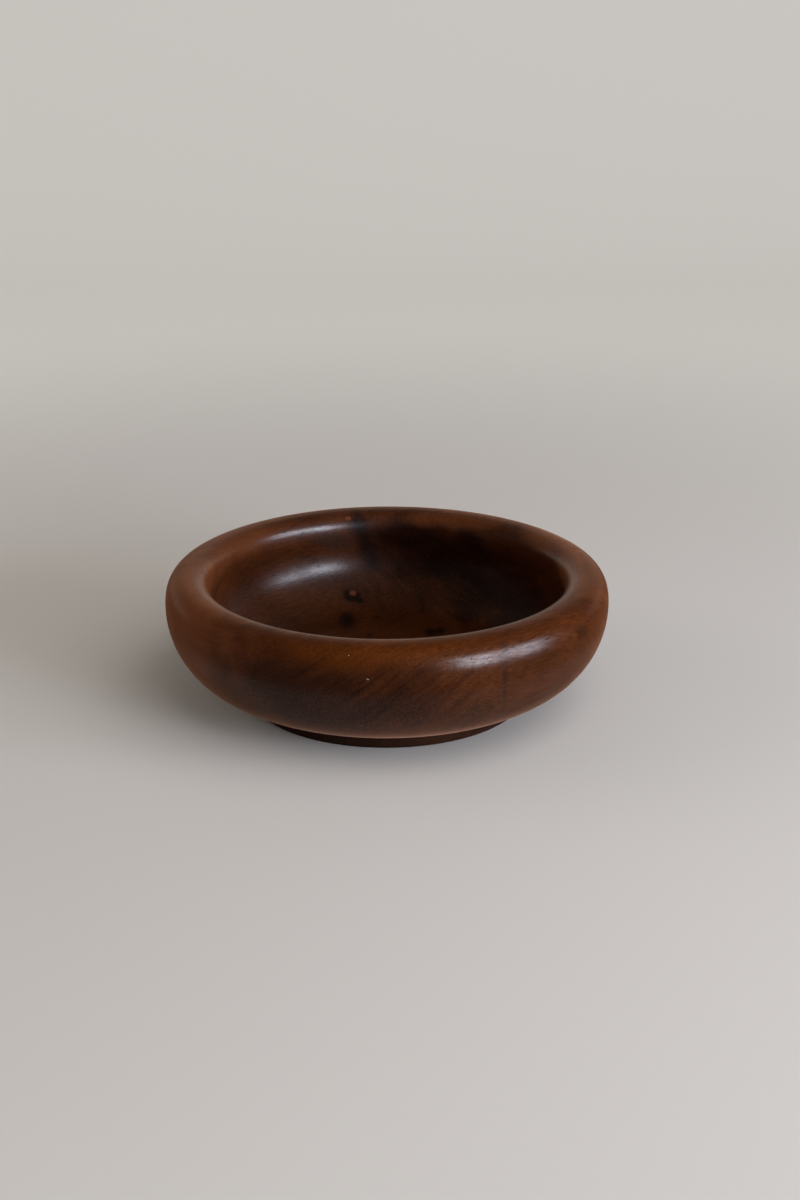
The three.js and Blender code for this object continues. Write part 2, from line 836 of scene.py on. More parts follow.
@dataclass(frozen=True)
class Ground:
    """The wood of one piece before anything is drawn on it.

    Attributes:
        graph: The material's graph.
        place: The place in the bowl, in millimetres.
        grain: The same place along the log, across it and up from the pith.
        view: The view that places the marks.
        piece: The piece that carries them.
    """

    graph: Graph
    place: Value
    grain: Value
    view: PhotoView
    piece: bpy.types.Object

    MIDDLE = (NOISE_MIDDLE, NOISE_MIDDLE, NOISE_MIDDLE)

    def spot(self, seen: Sighting) -> tuple[float, ...]:
        """Where a sighting falls on the piece, in millimetres."""
        return tuple(self.view.point_on(self.piece, seen) / MM)

    def depth_in(
        self, place: Value, seen: Sighting, reach: Sequence[float], drift: Value | None = None
    ) -> Value:
        """Where a place lies in an oval patch: 0 at its middle and 1 at its edge.

        Args:
            place: The place.
            seen: The patch's middle.
            reach: Its reach along X, Y and Z, in millimetres.
            drift: How the patch is pushed about, as a share of its reach.

        Returns:
            The share of the way out.
        """
        offset = self.graph.vector("SUBTRACT", place, self.spot(seen))
        offset = self.graph.stretched(offset, [1.0 / length for length in reach])
        if drift is not None:
            offset = self.graph.vector("ADD", offset, drift)
        return self.graph.vector("LENGTH", offset)

    def streaky(self, place: Value, size: tuple[float, float], detail: Detail) -> Value:
        """Noise that is drawn out along the first axis of a place.

        Args:
            place: The place.
            size: The length and width of one feature, in millimetres.
            detail: How many finer layers it has.

        Returns:
            The noise.
        """
        length, width = size
        scale = (1.0 / length, 1.0 / width, 1.0 / width)
        return self.graph.noise(self.graph.stretched(place, scale), detail)

    def fibres(self, size: tuple[float, float], detail: Detail = Detail.SOME) -> Value:
        """Straight noise along the fibres, with features of one length and width."""
        return self.streaky(self.grain, size, detail)

    def blotches(self, size: float, detail: Detail = Detail.SOME, output: str | int = 0) -> Value:
        """Round noise with features of one size in millimetres."""
        return self.graph.noise(self.graph.scaled(self.place, 1.0 / size), detail, output=output)

    def wandering(self, size: float, detail: Detail) -> Value:
        """A vector that wanders round nought, with features of one size in millimetres."""
        return self.graph.vector("SUBTRACT", self.blotches(size, detail, "Color"), self.MIDDLE)


@dataclass(frozen=True)
class FiguredWood:
    """Dark figured hardwood under a worn wax finish.

    Attributes:
        log: How the blank lay in the tree.
        tones: Its colours.
        knots: Its knots, by name.
        streaks: Its stained streaks.
        clouds: Its darker and paler patches, some of them painted shade, sheen or haze, in the order in
            which they are laid.
        burrs: Its patches of curly grain.
        figure: How coarse its figure is.
        wear: How the grain and use mark its finish.
        wax: Its finish.
        inner_wax: The finish of the hollow, where it differs.
    """

    log: Log
    tones: WoodTones
    knots: Mapping[str, Knot] = field(default_factory=dict)
    streaks: Mapping[str, Streak] = field(default_factory=dict)
    clouds: Mapping[str, Cloud] = field(default_factory=dict)
    burrs: Mapping[str, Burr] = field(default_factory=dict)
    figure: Figure = Figure()
    wear: Wear = Wear()
    wax: Wax = Wax()
    inner_wax: Wax | None = None

    LAYERS = {"band": 0.24, "flame": 0.10, "stroke": 0.14, "fibre": 0.30, "blotch": 0.22}
    STOPS = (0.34, 0.45, 0.56, 0.68)
    FINE_LAYERS = 0.6
    PORES = (0.60, 0.70)
    PORE_DARKNESS = 0.40
    STROKES = (0.55, 0.65)
    STROKE_DARKNESS = 0.36
    SCRATCHES = (0.70, 0.78)
    SCRATCH_TURNS = (0.6, 2.0)
    SHAKE_SIZE = 3.0
    DRIFT_SIZE = 20.0

    RING_DARKNESS = 0.22
    RING_RISE = (0.45, 0.92)
    RING_FALL = (0.94, 1.0)
    FAINTEST_RING = 0.2
    FADING_SIZE = (70.0, 30.0)
    FADING = (0.35, 0.65)
    MOST_FADED = 0.3

    def material(
        self, name: str, view: PhotoView, piece: bpy.types.Object
    ) -> bpy.types.Material:
        """Makes the wood of one piece.

        Args:
            name: The material's name.
            view: The view that places its marks.
            piece: The piece that carries them.

        Returns:
            The material.
        """
        made = bpy.data.materials.new(name)
        graph = Graph(made)
        place = graph.scaled(graph.add("ShaderNodeTexCoord", output="Object"), 1.0 / MM)
        ground = Ground(graph, place, self._along_the_log(graph, place), view, piece)
        ragged = self._shaken(ground)
        knots = [
            (knot, ground.depth_in(ragged, knot.seen, knot.reach)) for knot in self.knots.values()
        ]
        radius = self._curled(ground, self._ring_radius(ground, knots))
        flame = self._drawn_out(ground, radius, self.figure.flame, Detail.MUCH)
        pores = graph.step(ground.fibres(self.figure.pore, Detail.LITTLE), *self.PORES)
        colour = self._grain_colour(ground, radius, flame)
        colour = self._clouded(ground, colour, flame)
        colour = self._streaked(ground, colour, ragged)
        colour = self._knotted(graph, colour, knots)
        colour = graph.mix(colour, self.tones.ink, pores * self.PORE_DARKNESS)
        shader = self._finished(ground, colour, pores)
        graph.add("ShaderNodeOutputMaterial", sockets={"Surface": shader})
        return made

    def _finished(self, ground: Ground, colour: Value, pores: Value) -> Value:
        """Lays the wax over the wood.

        Args:
            ground: The wood.
            colour: Its colour.
            pores: Its open pores, from 0 to 1.

        Returns:
            The shader.
        """
        graph, figure, wear = ground.graph, self.figure, self.wear
        across, away, up = graph.split(ground.place)
        out = graph.math("SQRT", across * across + away * away)
        turning = graph.joined(out, up, 0.0)
        marks = graph.noise(turning, roughness=self.FINE_LAYERS, scale=1.0 / figure.tool_mark)
        scratches = self._scratches(ground)
        uneven = ground.blotches(figure.blotch, Detail.MUCH) - NOISE_MIDDLE
        grain = ground.fibres(figure.fibre) - NOISE_MIDDLE
        height = marks * wear.tool_mark_height - pores * wear.pore_depth
        height = height - scratches * wear.scratch_depth
        bump = graph.add(
            "ShaderNodeBump", sockets={"Strength": 1.0, "Distance": MM, "Height": height},
        )
        rough = uneven * wear.blotch_roughness + pores * wear.pore_roughness
        cover = 1.0 + uneven * wear.blotch_cover + grain * wear.fibre_cover
        cover = cover - pores * wear.pore_cover - scratches * wear.scratch_cover
        slant = graph.add("ShaderNodeLayerWeight", sockets={"Blend": 0.5}, output="Facing")
        cover = cover * (1.0 - graph.step(slant, *wear.slant) * wear.slant_loss)
        outside = self.wax.over(graph, colour, bump, rough, cover)
        if self.inner_wax is None:
            return outside
        inside = self.inner_wax.over(graph, colour, bump, rough, cover)
        share = Hollow().share(graph, out, up)
        return graph.add("ShaderNodeMixShader", sockets={0: share, 1: outside, 2: inside})

    def _along_the_log(self, graph: Graph, place: Value) -> Value:
        """Turns a place in the bowl into one in the log: along it, across it and up."""
        turned = graph.turned(place, "Z_AXIS", {"Angle": -self.log.heading})
        return graph.vector("SUBTRACT", turned, (0.0, self.log.pith_aside, self.log.pith_height))

    def _shaken(self, ground: Ground) -> Value:
        """The place, shaken a little, which makes the edges of marks uneven."""
        shaking = ground.graph.scaled(ground.wandering(self.SHAKE_SIZE, Detail.MUCH), self.SHAKE_SIZE)
        return ground.graph.vector("ADD", ground.place, shaking)

    def _ring_radius(self, ground: Ground, knots: Iterable[tuple[Knot, Value]]) -> Value:
        """The distance from the pith, as uneven growth and the knots have bent it.

        Args:
            ground: The wood.
            knots: Its knots, each with where a place lies in it.

        Returns:
            The distance in millimetres.
        """
        graph = ground.graph
        _, across, up = graph.split(ground.grain)
        radius = graph.math("SQRT", across * across + up * up)
        for wave in self.log.waves:
            radius = radius + (ground.fibres((wave.length, wave.width)) - NOISE_MIDDLE) * wave.depth
        for knot, distance in knots:
            near = graph.math("EXPONENT", distance * distance * -knot.BEND_FALLOFF)
            radius = radius + near * (min(knot.reach) * knot.BEND)
        return radius

    def _curled(self, ground: Ground, radius: Value) -> Value:
        """Curls the rings in the burrs.

        Args:
            ground: The wood.
            radius: The distance from the pith.

        Returns:
            The distance from the pith, curled.
        """
        graph = ground.graph
        for burr in self.burrs.values():
            away = graph.vector("DISTANCE", ground.place, ground.spot(burr.seen)) / burr.reach
            inside = 1.0 - graph.step(away, *burr.EDGE)
            radius = radius + (ground.blotches(burr.curl) - NOISE_MIDDLE) * inside * burr.depth
        return radius

    def _drawn_out(
        self,
        ground: Ground,
        radius: Value,
        size: tuple[float, float],
        detail: Detail = Detail.SOME,
    ) -> Value:
        """Noise that is drawn out along the fibres and lies in the rings.

        Args:
            ground: The wood.
            radius: The distance from the pith.
            size: The length and width of one feature, in millimetres.
            detail: How many finer layers it has.

        Returns:
            The noise.
        """
        length, width = size
        along, across, _ = ground.graph.split(ground.grain)
        drawn = ground.graph.joined(along / length, radius / width, across / length)
        return ground.graph.noise(drawn, detail, self.FINE_LAYERS)

    def _grain_colour(self, ground: Ground, radius: Value, flame: Value) -> Value:
        """The colour of the bands, rings and fibres.

        Args:
            ground: The wood.
            radius: The distance from the pith.
            flame: The coarse strokes of the figure.

        Returns:
            The colour.
        """
        graph, tones, figure = ground.graph, self.tones, self.figure
        stroke = self._drawn_out(ground, radius, figure.stroke)
        layers = {
            "band": self._drawn_out(ground, radius, figure.band, Detail.MUCH),
            "flame": flame,
            "stroke": stroke,
            "fibre": ground.fibres(figure.fibre),
            "blotch": ground.blotches(figure.blotch),
        }
        tone = sum(layer * self.LAYERS[name] for name, layer in layers.items())
        stops = list(zip(self.STOPS, (tones.dark, tones.middle, tones.warm, tones.pale)))
        colour = graph.add("ShaderNodeValToRGB", {"stops": stops}, {0: tone}, "Color")
        pencilled = graph.step(stroke, *self.STROKES) * self.STROKE_DARKNESS
        colour = graph.mix(colour, tones.dark, pencilled)
        return graph.mix(colour, tones.dark, self._late_wood(ground, radius) * self.RING_DARKNESS)

    def _late_wood(self, ground: Ground, radius: Value) -> Value:
        """The dark edge of each growth ring, stronger in some rings and faded in places.

        Args:
            ground: The wood.
            radius: The distance from the pith.

        Returns:
            Its strength from 0 to 1.
        """
        graph = ground.graph
        count = radius / self.log.ring_gap
        part = graph.math("FRACT", count)
        strength = graph.add(
            "ShaderNodeTexWhiteNoise", {"noise_dimensions": "1D"}, {"W": graph.math("FLOOR", count)},
        )
        strength = strength * (1.0 - self.FAINTEST_RING) + self.FAINTEST_RING
        fading = graph.step(ground.fibres(self.FADING_SIZE), *self.FADING)
        edge = graph.step(part, *self.RING_RISE) * (1.0 - graph.step(part, *self.RING_FALL))
        return edge * strength * (fading * (1.0 - self.MOST_FADED) + self.MOST_FADED)

    def _scratches(self, ground: Ground) -> Value:
        """Fine scratches of use that cross each other.

        Args:
            ground: The wood.

        Returns:
            Their strength from 0 to 1.
        """
        graph = ground.graph
        found = []
        for turn in self.SCRATCH_TURNS:
            lying = graph.turned(ground.place, "EULER_XYZ", {"Rotation": (turn, turn / 2, turn)})
            spread = ground.streaky(lying, self.figure.scratch, Detail.NONE)
            found.append(graph.step(spread, *self.SCRATCHES))
        return graph.math("MAXIMUM", *found)

    def _clouded(self, ground: Ground, colour: Value, flame: Value) -> Value:
        """Lays the clouds over the wood, with edges that the flame draws out.

        Args:
            ground: The wood.
            colour: Its colour.
            flame: The coarse strokes of its figure.

        Returns:
            The clouded colour.
        """
        graph = ground.graph
        drift = ground.wandering(self.DRIFT_SIZE, Detail.SOME)
        for cloud in self.clouds.values():
            spread = ground.depth_in(ground.place, cloud.seen, cloud.reach, drift)
            spread = spread + (flame - NOISE_MIDDLE) * (2.0 * cloud.feather)
            share = (1.0 - graph.step(spread, cloud.core, cloud.EDGE)) * cloud.strength
            colour = graph.mix(colour, cloud.tint, share, cloud.blend)
        return colour

    def _streaked(self, ground: Ground, colour: Value, place: Value) -> Value:
        """Draws the stained streaks.

        Args:
            ground: The wood.
            colour: Its colour.
            place: The shaken place.

        Returns:
            The streaked colour.
        """
        graph = ground.graph
        for streak in self.streaks.values():
            nearest = self._off_streak(ground, streak, place)
            share = (1.0 - graph.step(nearest, *streak.EDGE)) * streak.strength
            colour = graph.mix(colour, streak.colour, share)
        return colour

    @staticmethod
    def _off_streak(ground: Ground, streak: Streak, place: Value) -> Value:
        """How far a place lies from a streak's middle.

        Args:
            ground: The wood.
            streak: The streak.
            place: The place.

        Returns:
            The distance as a share of the streak's half width.
        """
        graph = ground.graph
        spots = [Vector(ground.spot(seen)) for seen in streak.path]
        first, last = streak.widths
        growth = (last - first) / (len(spots) - 1)
        runs = []
        for index, (start, end) in enumerate(zip(spots, spots[1:])):
            run = end - start
            offset = graph.vector("SUBTRACT", place, tuple(start))
            along = graph.vector("DOT_PRODUCT", offset, tuple(run / run.length_squared))
            along = graph.add("ShaderNodeClamp", sockets={"Value": along})
            distance = graph.vector("DISTANCE", offset, graph.scaled(tuple(run), along))
            runs.append(distance / (along * growth + (first + growth * index)))
        nearest = runs[0]
        for distance in runs[1:]:
            nearest = graph.math("MINIMUM", nearest, distance)
        return nearest

    def _knotted(
        self, graph: Graph, colour: Value, knots: Iterable[tuple[Knot, Value]]
    ) -> Value:
        """Draws the knots.

        Args:
            graph: The material's graph.
            colour: The wood's colour.
            knots: The knots, each with where a place lies in it.

        Returns:
            The colour with the knots.
        """
        for knot, distance in knots:
            halo = (1.0 - graph.step(distance, *knot.HALO)) * knot.HALO_DARKNESS
            ring = (1.0 - graph.step(distance, *knot.RING)) * knot.darkness
            heart = 1.0 - graph.step(distance, *(knot.heart_share * edge for edge in knot.HEART))
            colour = graph.mix(colour, self.tones.dark, halo)
            colour = graph.mix(colour, self.tones.ink, ring)
            colour = graph.mix(colour, knot.heart, heart)
        return colour


# Finishes of this bowl

BOWL_TONES = WoodTones(
    ink=srgb(15, 6, 3),
    dark=srgb(32, 13, 4),
    middle=srgb(50, 22, 5),
    warm=srgb(64, 29, 7),
    pale=srgb(84, 41, 12),
)
# Painted shade: the foot's tones are darker than the bowl's, for the shade under the overhanging belly.
SHADED_FOOT_TONES = WoodTones(
    ink=srgb(12, 6, 4),
    dark=srgb(24, 13, 8),
    middle=srgb(33, 18, 11),
    warm=srgb(42, 24, 15),
    pale=srgb(54, 31, 19),
)
ORANGE_HEART = srgb(84, 40, 18)
DARK_HEART = srgb(14, 5, 2)
PALE_SPECK = srgb(196, 186, 172)
GREY_STAIN = srgb(20, 14, 14)
DARK_STAIN = srgb(16, 8, 6)
EVEN_BROWN = srgb(84, 42, 17)
# Paler wood with painted sheen, for parts that look lighter at a slant.
PALE_BROWN_AND_SHEEN = srgb(96, 51, 24)
# Painted reflection: a greyed brown like the haze below a highlight.
PAINTED_HAZE_BROWN = srgb(42, 30, 26)

BOWL_LOG = Log(heading=math.radians(222.0), pith_aside=0.0, pith_height=120.0, ring_gap=2.4)

KNOTS = {
    "dark wood of the wall knot": Knot(Sighting(352, 596), (6.2, 5.0, 5.4), DARK_HEART, 0.2, 0.92),
    "heart of the wall knot": Knot(Sighting(353, 593), (2.9, 2.9, 2.2), ORANGE_HEART, 0.8, 0.2),
    "tail of the wall knot": Knot(Sighting(360, 601), (2.0, 2.6, 3.0), DARK_HEART),
    "floor knot": Knot(Sighting(347, 621), (5.8, 12.0, 7.0), DARK_HEART, 0.4, 0.85),
    "small floor knot": Knot(Sighting(369, 635), (1.5, 3.2, 2.0), DARK_HEART, 0.4, 0.7),
    "smallest floor knot": Knot(Sighting(377, 617), (1.4, 3.0, 1.6), DARK_HEART, 0.4, 0.5),
    "twin floor knot, left": Knot(Sighting(431, 632), (3.6, 6.0, 3.0), DARK_HEART, 0.4, 0.8),
    "twin floor knot, right": Knot(Sighting(440, 631), (3.0, 5.0, 3.0), DARK_HEART, 0.4, 0.8),
    "dot on the left wall": Knot(Sighting(238, 566), (0.8, 0.8, 0.8), DARK_HEART),
    "orange spot on the rim": Knot(Sighting(348, 518), (2.6, 2.0, 2.0), ORANGE_HEART, 0.9, 0.1),
    "upper speck": Knot(Sighting(349, 655), (0.36, 0.36, 0.36), PALE_SPECK, 1.0, 0.0),
    "lower speck": Knot(Sighting(368, 679), (0.42, 0.42, 0.42), PALE_SPECK, 1.0, 0.0),
}
STREAKS = {
    "across the back rim": Streak(
        (Sighting(357, 511), Sighting(358, 518), Sighting(359, 525)), (3.0, 7.0), DARK_STAIN, 0.55,
    ),
    "down the back wall": Streak(
        (Sighting(359, 525), Sighting(362, 534), Sighting(366, 546), Sighting(374, 562)),
        (7.5, 6.0), DARK_STAIN, 0.80,
    ),
    "down the front": Streak(
        (Sighting(505, 646), Sighting(506, 660), Sighting(505, 680), Sighting(504, 702)),
        (3.2, 1.4), GREY_STAIN, 0.40,
    ),
    "nick in the left rim": Streak(
        (Sighting(202, 571), Sighting(207, 580)), (1.2, 0.9), GREY_STAIN, 0.95,
    ),
}
CLOUDS = {
    # Painted reflection: the grey haze below the roll's highlight, left of the streak.
    "painted haze by the streak": Cloud(
        Sighting(332, 541), (26.0, 20.0, 7.0), PAINTED_HAZE_BROWN, 0.6, 0.5, blend=Blend.OVER,
    ),
    "dark wood by the streak": Cloud(
        Sighting(398, 534), (26.0, 20.0, 12.0), (0.50, 0.45, 0.45), 0.8, 0.3, 0.5,
    ),
    "left back rim": Cloud(
        Sighting(235, 540), (36.0, 52.0, 14.0), EVEN_BROWN, 0.7, 0.5, blend=Blend.OVER,
    ),
    # Partly paler wood, partly painted sheen along the left rim's inner edge.
    "left rim": Cloud(
        Sighting(205, 590), (44.0, 76.0, 28.0), PALE_BROWN_AND_SHEEN, 0.75, 0.5, blend=Blend.OVER,
    ),
    # Partly paler wood, partly painted warm light on the left side.
    "left side": Cloud(
        Sighting(178, 635), (50.0, 80.0, 40.0), PALE_BROWN_AND_SHEEN, 0.65, 0.5, blend=Blend.OVER,
    ),
    "right rim": Cloud(
        Sighting(590, 575), (30.0, 50.0, 14.0), EVEN_BROWN, 0.5, blend=Blend.OVER,
    ),
    # Partly paler wood, partly painted sheen along the right rim's inner edge.
    "inner edge of the right rim": Cloud(
        Sighting(571, 572), (9.0, 44.0, 12.0), PALE_BROWN_AND_SHEEN, 0.9, 0.4, 0.5, Blend.OVER,
    ),
    "dark belly, left": Cloud(
        Sighting(310, 700), (74.0, 40.0, 26.0), (0.42, 0.34, 0.26), 0.8, 0.6,
    ),
    "dark belly, middle": Cloud(
        Sighting(410, 705), (44.0, 30.0, 18.0), (0.52, 0.44, 0.34), 0.7, 0.6,
    ),
    # Painted shade on the lowest belly, over the foot.
    "painted shade under the belly": Cloud(
        Sighting(400, 728), (150.0, 60.0, 14.0), (0.72, 0.74, 0.76), 0.9, 0.4,
    ),
    "warm band on the front": Cloud(
        Sighting(396, 650), (80.0, 20.0, 11.0), (1.78, 1.70, 1.0), 0.95, 0.6,
    ),
    "dark spot by the highlight": Cloud(
        Sighting(582, 633), (8.0, 9.0, 5.0), (0.50, 0.55, 0.60), 0.6, 0.4,
    ),
    "dark patch on the right rim": Cloud(
        Sighting(590, 609), (9.0, 16.0, 9.0), (0.62, 0.50, 0.42), 0.8, 0.5,
    ),
    "dark spot in the hollow": Cloud(
        Sighting(465, 617), (12.0, 9.0, 4.0), (0.40, 0.40, 0.45), 0.7,
    ),
    "dark back wall": Cloud(
        Sighting(430, 549), (46.0, 40.0, 20.0), (0.36, 0.32, 0.33), 0.95, 0.2, 0.75,
    ),
    "dark right wall": Cloud(
        Sighting(480, 572), (62.0, 60.0, 30.0), (0.45, 0.43, 0.43), 0.9, 0.6,
    ),
    "dark burr": Cloud(
        Sighting(515, 602), (40.0, 50.0, 20.0), (0.45, 0.44, 0.48), 0.85, 0.6,
    ),
    # Partly paler wood, partly painted sheen on the right back rim.
    "right back rim": Cloud(
        Sighting(552, 538), (26.0, 30.0, 8.0), PALE_BROWN_AND_SHEEN, 0.7, 0.4, 0.4, Blend.OVER,
    ),
    "back rim": Cloud(
        Sighting(470, 519), (60.0, 16.0, 7.0), EVEN_BROWN, 0.6, 0.4, 0.4, Blend.OVER,
    ),
}
BURRS = {"hollow's right corner": Burr(Sighting(497, 610), 24.0, 8.0, 20.0)}

BOWL_WOOD = FiguredWood(
    BOWL_LOG, BOWL_TONES, KNOTS, STREAKS, CLOUDS, BURRS,
    inner_wax=Wax(
        roughness=0.33, specular=0.19, fibre_tint=(0.92, 0.94, 1.0), coat=0.70, coat_roughness=0.28,
        sheen=0.04,
    ),
)
# The foot's wood takes the darker tones of painted shade.
SHADED_FOOT_WOOD = FiguredWood(BOWL_LOG, SHADED_FOOT_TONES, wax=Wax(roughness=0.55, coat=0.16, sheen=0.03))


# Pieces

@dataclass
class TurnedPiece:
    """A piece that is turned from one outline."""

    piece: bpy.types.Object = field(init=False)

    NAME: ClassVar[str]
    NODE: ClassVar[str]
    SLOT: ClassVar[str]
    WOOD_NAME: ClassVar[str]
    WOOD: ClassVar[FiguredWood]

    def outline(self) -> list[Point]:
        """The outline that is turned, as radii and heights."""
        raise NotImplementedError

    def eased_rings(self) -> list[tuple[Point, float]]:
        """The sharp edges that are rounded, each with the rounding's width."""
        return []

    def build(self, lathe: Lathe) -> None:
        """Turns the piece, eases its sharp edges and smooths it.

        Args:
            lathe: The lathe.
        """
        self.piece = lathe.turn(self.NAME, self.outline())
        for ring, width in self.eased_rings():
            lathe.ease_edge(self.piece, ring, width)
        lathe.smooth(self.piece)

    def dress(self, view: PhotoView) -> None:
        """Gives the piece its wood and its place in the frame.

        Args:
            view: The view that places the marks in the wood.
        """
        self.piece.data.materials.append(self.WOOD.material(self.WOOD_NAME, view, self.piece))
        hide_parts(self.NODE)
        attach(self.piece, "root")


@dataclass
class Vessel(TurnedPiece):
    """The turned body of the bowl.

    The overall sizes come from its solid, and the rest repeat the solid's own.
    """

    outer_radius: float
    crest_height: float
    recess_height: float
    foot_radius: float
    glue_line: float = 0.3 * MM
    belly_height: float = 47.0 * MM
    belly_ledge: float = 0.8 * MM
    rim_rise: float = 17.2 * MM
    rim_outer_roll: float = 13.2 * MM
    rim_fullness: float = 2.5
    rim_inner_roll: float = 11.5 * MM
    rim_inner_drop: float = 11.8 * MM
    undercut: float = 1.4 * MM
    undercut_height: float = 11.7 * MM
    corner_reach: float = 36.0 * MM
    floor_dish: float = 1.4 * MM
    bottom_thickness: float = 14.1 * MM
    ring_width: float = 15.5 * MM
    spigot_chamfer: float = 1.0 * MM
    underside_dish: float = 0.7 * MM

    NAME = "turned_bowl"
    NODE = "bowl_body"
    SLOT = "bowl_wood"
    WOOD_NAME = "figured_wood"
    WOOD = BOWL_WOOD
    DISH_STEPS = 14
    BELLY_STEPS = 44
    OUTER_ROLL_STEPS = 28
    INNER_ROLL_STEPS = 24
    WALL_STEPS = 8
    CORNER_STEPS = 36

    @classmethod
    def from_solids(cls) -> "Vessel":
        """Takes the overall sizes from the solids.

        Returns:
            The vessel.
        """
        low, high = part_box(cls.NODE)
        foot_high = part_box(FootRing.NODE)[1]
        return cls(high.x, high.z, low.z, foot_high.x)

    def outline(self) -> list[Point]:
        """The outline from the middle of the underside, round the outside and rim, to the floor.

        Returns:
            Radii and heights.
        """
        spigot = self.foot_radius - self.ring_width - self.glue_line
        widest_height = self.crest_height - self.rim_rise
        foot_height = widest_height - self.belly_height
        underside = shallow_dish(
            spigot - self.spigot_chamfer, self.recess_height, self.underside_dish, self.DISH_STEPS,
        )
        return [
            *underside,
            (spigot, self.recess_height + self.spigot_chamfer),
            (spigot, foot_height),
            *self._outside(widest_height),
            *self._inside(self.outer_radius - self.rim_outer_roll),
        ]

    def _outside(self, widest_height: float) -> list[Point]:
        """The belly and the outer half of the rim, up to the crest.

        Args:
            widest_height: The height where the bowl is widest.

        Returns:
            Radii and heights.
        """
        spring = self.foot_radius + self.belly_ledge
        crest = self.outer_radius - self.rim_outer_roll
        belly = QuarterOval(
            (spring, widest_height), self.outer_radius - spring, self.belly_height, -QUARTER_TURN, 0.0,
        )
        roll = QuarterOval(
            (crest, widest_height), self.rim_outer_roll, self.rim_rise, 0.0, QUARTER_TURN,
            self.rim_fullness,
        )
        return [*belly.points(self.BELLY_STEPS), *roll.points(self.OUTER_ROLL_STEPS)[1:]]

    def _inside(self, crest: float) -> list[Point]:
        """The inner half of the rim, the wall and the floor, down to the axis.

        Args:
            crest: The radius of the rim's crest.

        Returns:
            Radii and heights.
        """
        throat = crest - self.rim_inner_roll
        throat_height = self.crest_height - self.rim_inner_drop
        hollow = throat + self.undercut
        corner_height = throat_height - self.undercut_height
        floor_radius = hollow - self.corner_reach
        floor_height = self.recess_height + self.bottom_thickness
        edge_height = floor_height + self.floor_dish
        roll = QuarterOval(
            (crest, throat_height), self.rim_inner_roll, self.rim_inner_drop, QUARTER_TURN, math.pi,
            self.rim_fullness,
        )
        wall = upright_ease((throat, throat_height), (hollow, corner_height), self.WALL_STEPS)
        corner = QuarterOval(
            (floor_radius, corner_height), self.corner_reach, corner_height - edge_height,
            0.0, -QUARTER_TURN,
        )
        floor = shallow_dish(floor_radius, edge_height, -self.floor_dish, self.DISH_STEPS)
        return [
            *roll.points(self.INNER_ROLL_STEPS)[1:],
            *wall[1:],
            *corner.points(self.CORNER_STEPS)[1:],
            *floor[-2::-1],
        ]


@dataclass
class FootRing(TurnedPiece):
    """The ring that the bowl stands on."""

    outer_radius: float
    seat_height: float
    ring_width: float = 15.5 * MM
    lower_round: float = 1.2 * MM
    bore_chamfer: float = 0.8 * MM
    eased_edge: float = 0.3 * MM

    NAME = "turned_foot"
    NODE = "foot_ring"
    SLOT = "foot_wood"
    WOOD_NAME = "foot_wood"
    WOOD = SHADED_FOOT_WOOD
    FACE_STEPS = 10
    SIDE_STEPS = 8
    ROUND_STEPS = 6

    @classmethod
    def from_solid(cls) -> "FootRing":
        """Takes the overall sizes from the solid."""
        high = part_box(cls.NODE)[1]
        return cls(high.x, high.z)

    def outline(self) -> list[Point]:
        """The closed outline, from the bore's lower edge round the outside and back down the bore.

        Returns:
            Radii and heights.
        """
        bore = self.outer_radius - self.ring_width
        inner_edge = bore + self.bore_chamfer
        outer_edge = self.outer_radius - self.lower_round
        low_round = QuarterOval(
            (outer_edge, self.lower_round), self.lower_round, self.lower_round, -QUARTER_TURN, 0.0,
        )
        face = [
            (inner_edge + (outer_edge - inner_edge) * step / self.FACE_STEPS, 0.0)
            for step in range(self.FACE_STEPS)
        ]
        side_height = self.seat_height - self.lower_round
        side = [
            (self.outer_radius, self.lower_round + side_height * step / self.SIDE_STEPS)
            for step in range(1, self.SIDE_STEPS + 1)
        ]
        return [
            *face, *low_round.points(self.ROUND_STEPS), *side,
            (bore, self.seat_height), (bore, self.bore_chamfer), face[0],
        ]

    def eased_rings(self) -> list[tuple[Point, float]]:
        """The upper outer edge."""
        return [((self.outer_radius, self.seat_height), self.eased_edge)]


# The studio

@dataclass(frozen=True)
class SoftPanel:
    """A rectangular soft light that faces the bowl.

    Attributes:
        name: Its name.
        heading: Where it stands, seen from above, in degrees from +X.
        rise: How high it stands above the bowl's foot, in degrees.
        size: Its width and height.
        power: Its power in watts.
        colour: The colour of its light.
        gleams: Whether polished surfaces show it.
        distance: How far away it is.
    """

    name: str
    heading: float
    rise: float
    size: tuple[float, float]
    power: float
    colour: Colour
    gleams: bool = True
    distance: float = 1.9

    def add(self) -> None:
        """Adds the light."""
        heading, rise = math.radians(self.heading), math.radians(self.rise)
        level = math.cos(rise)
        aim = Vector((level * math.cos(heading), level * math.sin(heading), math.sin(rise)))
        bpy.ops.object.light_add(type="AREA", location=aim * self.distance)
        panel = bpy.context.object
        panel.name = self.name
        panel.data.shape = "RECTANGLE"
        panel.data.size, panel.data.size_y = self.size
        panel.data.energy = self.power
        panel.data.color = self.colour
        panel.rotation_euler = aim.to_track_quat("Z", "Y").to_euler()
        panel.visible_glossy = self.gleams


COOL_LIGHT = (0.93, 0.97, 1.10)


